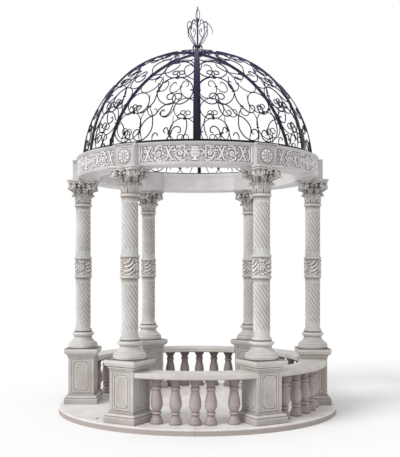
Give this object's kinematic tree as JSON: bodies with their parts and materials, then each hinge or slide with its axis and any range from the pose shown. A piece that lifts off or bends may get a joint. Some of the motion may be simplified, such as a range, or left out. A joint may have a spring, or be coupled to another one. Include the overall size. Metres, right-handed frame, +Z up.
{
  "type": "marble gazebo",
  "caption": "Round marble garden gazebo: fluted columns on pedestals, balustraded benches, a ring frieze and an open dome of wrought iron scrolls with a finial.",
  "frame": {"origin": "centre of the floor's underside, at ground level", "axes": "+Z up, columns every 60 degrees from +X, open entrance bay towards 210 degrees, front towards -Y"},
  "size_m": [3.57, 3.57, 5.2403],
  "materials": {
    "floor_marble": "honed pale grey marble, faint veins",
    "bench_marble": "polished white marble, faint warm veins",
    "pedestal_marble": "carved grey-brown marble with sunk panels",
    "column_marble": "carved pale grey marble, pinkish-brown in the recesses",
    "baluster_marble": "turned mauve-grey marble",
    "frieze_marble": "carved pale marble, plain on its inner face",
    "wrought_iron": "dark indigo paint with a dull sheen"
  },
  "bodies": {
    "root": {"floor_slabs": "floor_marble", "pedestal_1": "pedestal_marble", "pedestal_2": "pedestal_marble", "pedestal_3": "pedestal_marble", "pedestal_4": "pedestal_marble", "pedestal_5": "pedestal_marble", "pedestal_6": "pedestal_marble", "column_bases": "column_marble", "shaft_1": "column_marble", "shaft_2": "column_marble", "shaft_3": "column_marble", "shaft_4": "column_marble", "shaft_5": "column_marble", "shaft_6": "column_marble", "capital_1": "column_marble", "capital_2": "column_marble", "capital_3": "column_marble", "capital_4": "column_marble", "capital_5": "column_marble", "capital_6": "column_marble", "frieze_blocks": "frieze_marble", "frieze_1": "frieze_marble", "frieze_2": "frieze_marble", "frieze_3": "frieze_marble", "frieze_4": "frieze_marble", "frieze_5": "frieze_marble", "frieze_6": "frieze_marble", "rail_right_back": "bench_marble", "rail_back": "bench_marble", "rail_left_back": "bench_marble", "rail_front": "bench_marble", "rail_right_front": "bench_marble", "balusters_right_back": "baluster_marble", "balusters_back": "baluster_marble", "balusters_left_back": "baluster_marble", "balusters_front": "baluster_marble", "balusters_right_front": "baluster_marble", "dome_ring": "wrought_iron", "dome_ribs": "wrought_iron", "scrolls_1": "wrought_iron", "scrolls_2": "wrought_iron", "scrolls_3": "wrought_iron", "scrolls_4": "wrought_iron", "scrolls_5": "wrought_iron", "scrolls_6": "wrought_iron", "finial": "wrought_iron"}
  },
  "joints": []
}
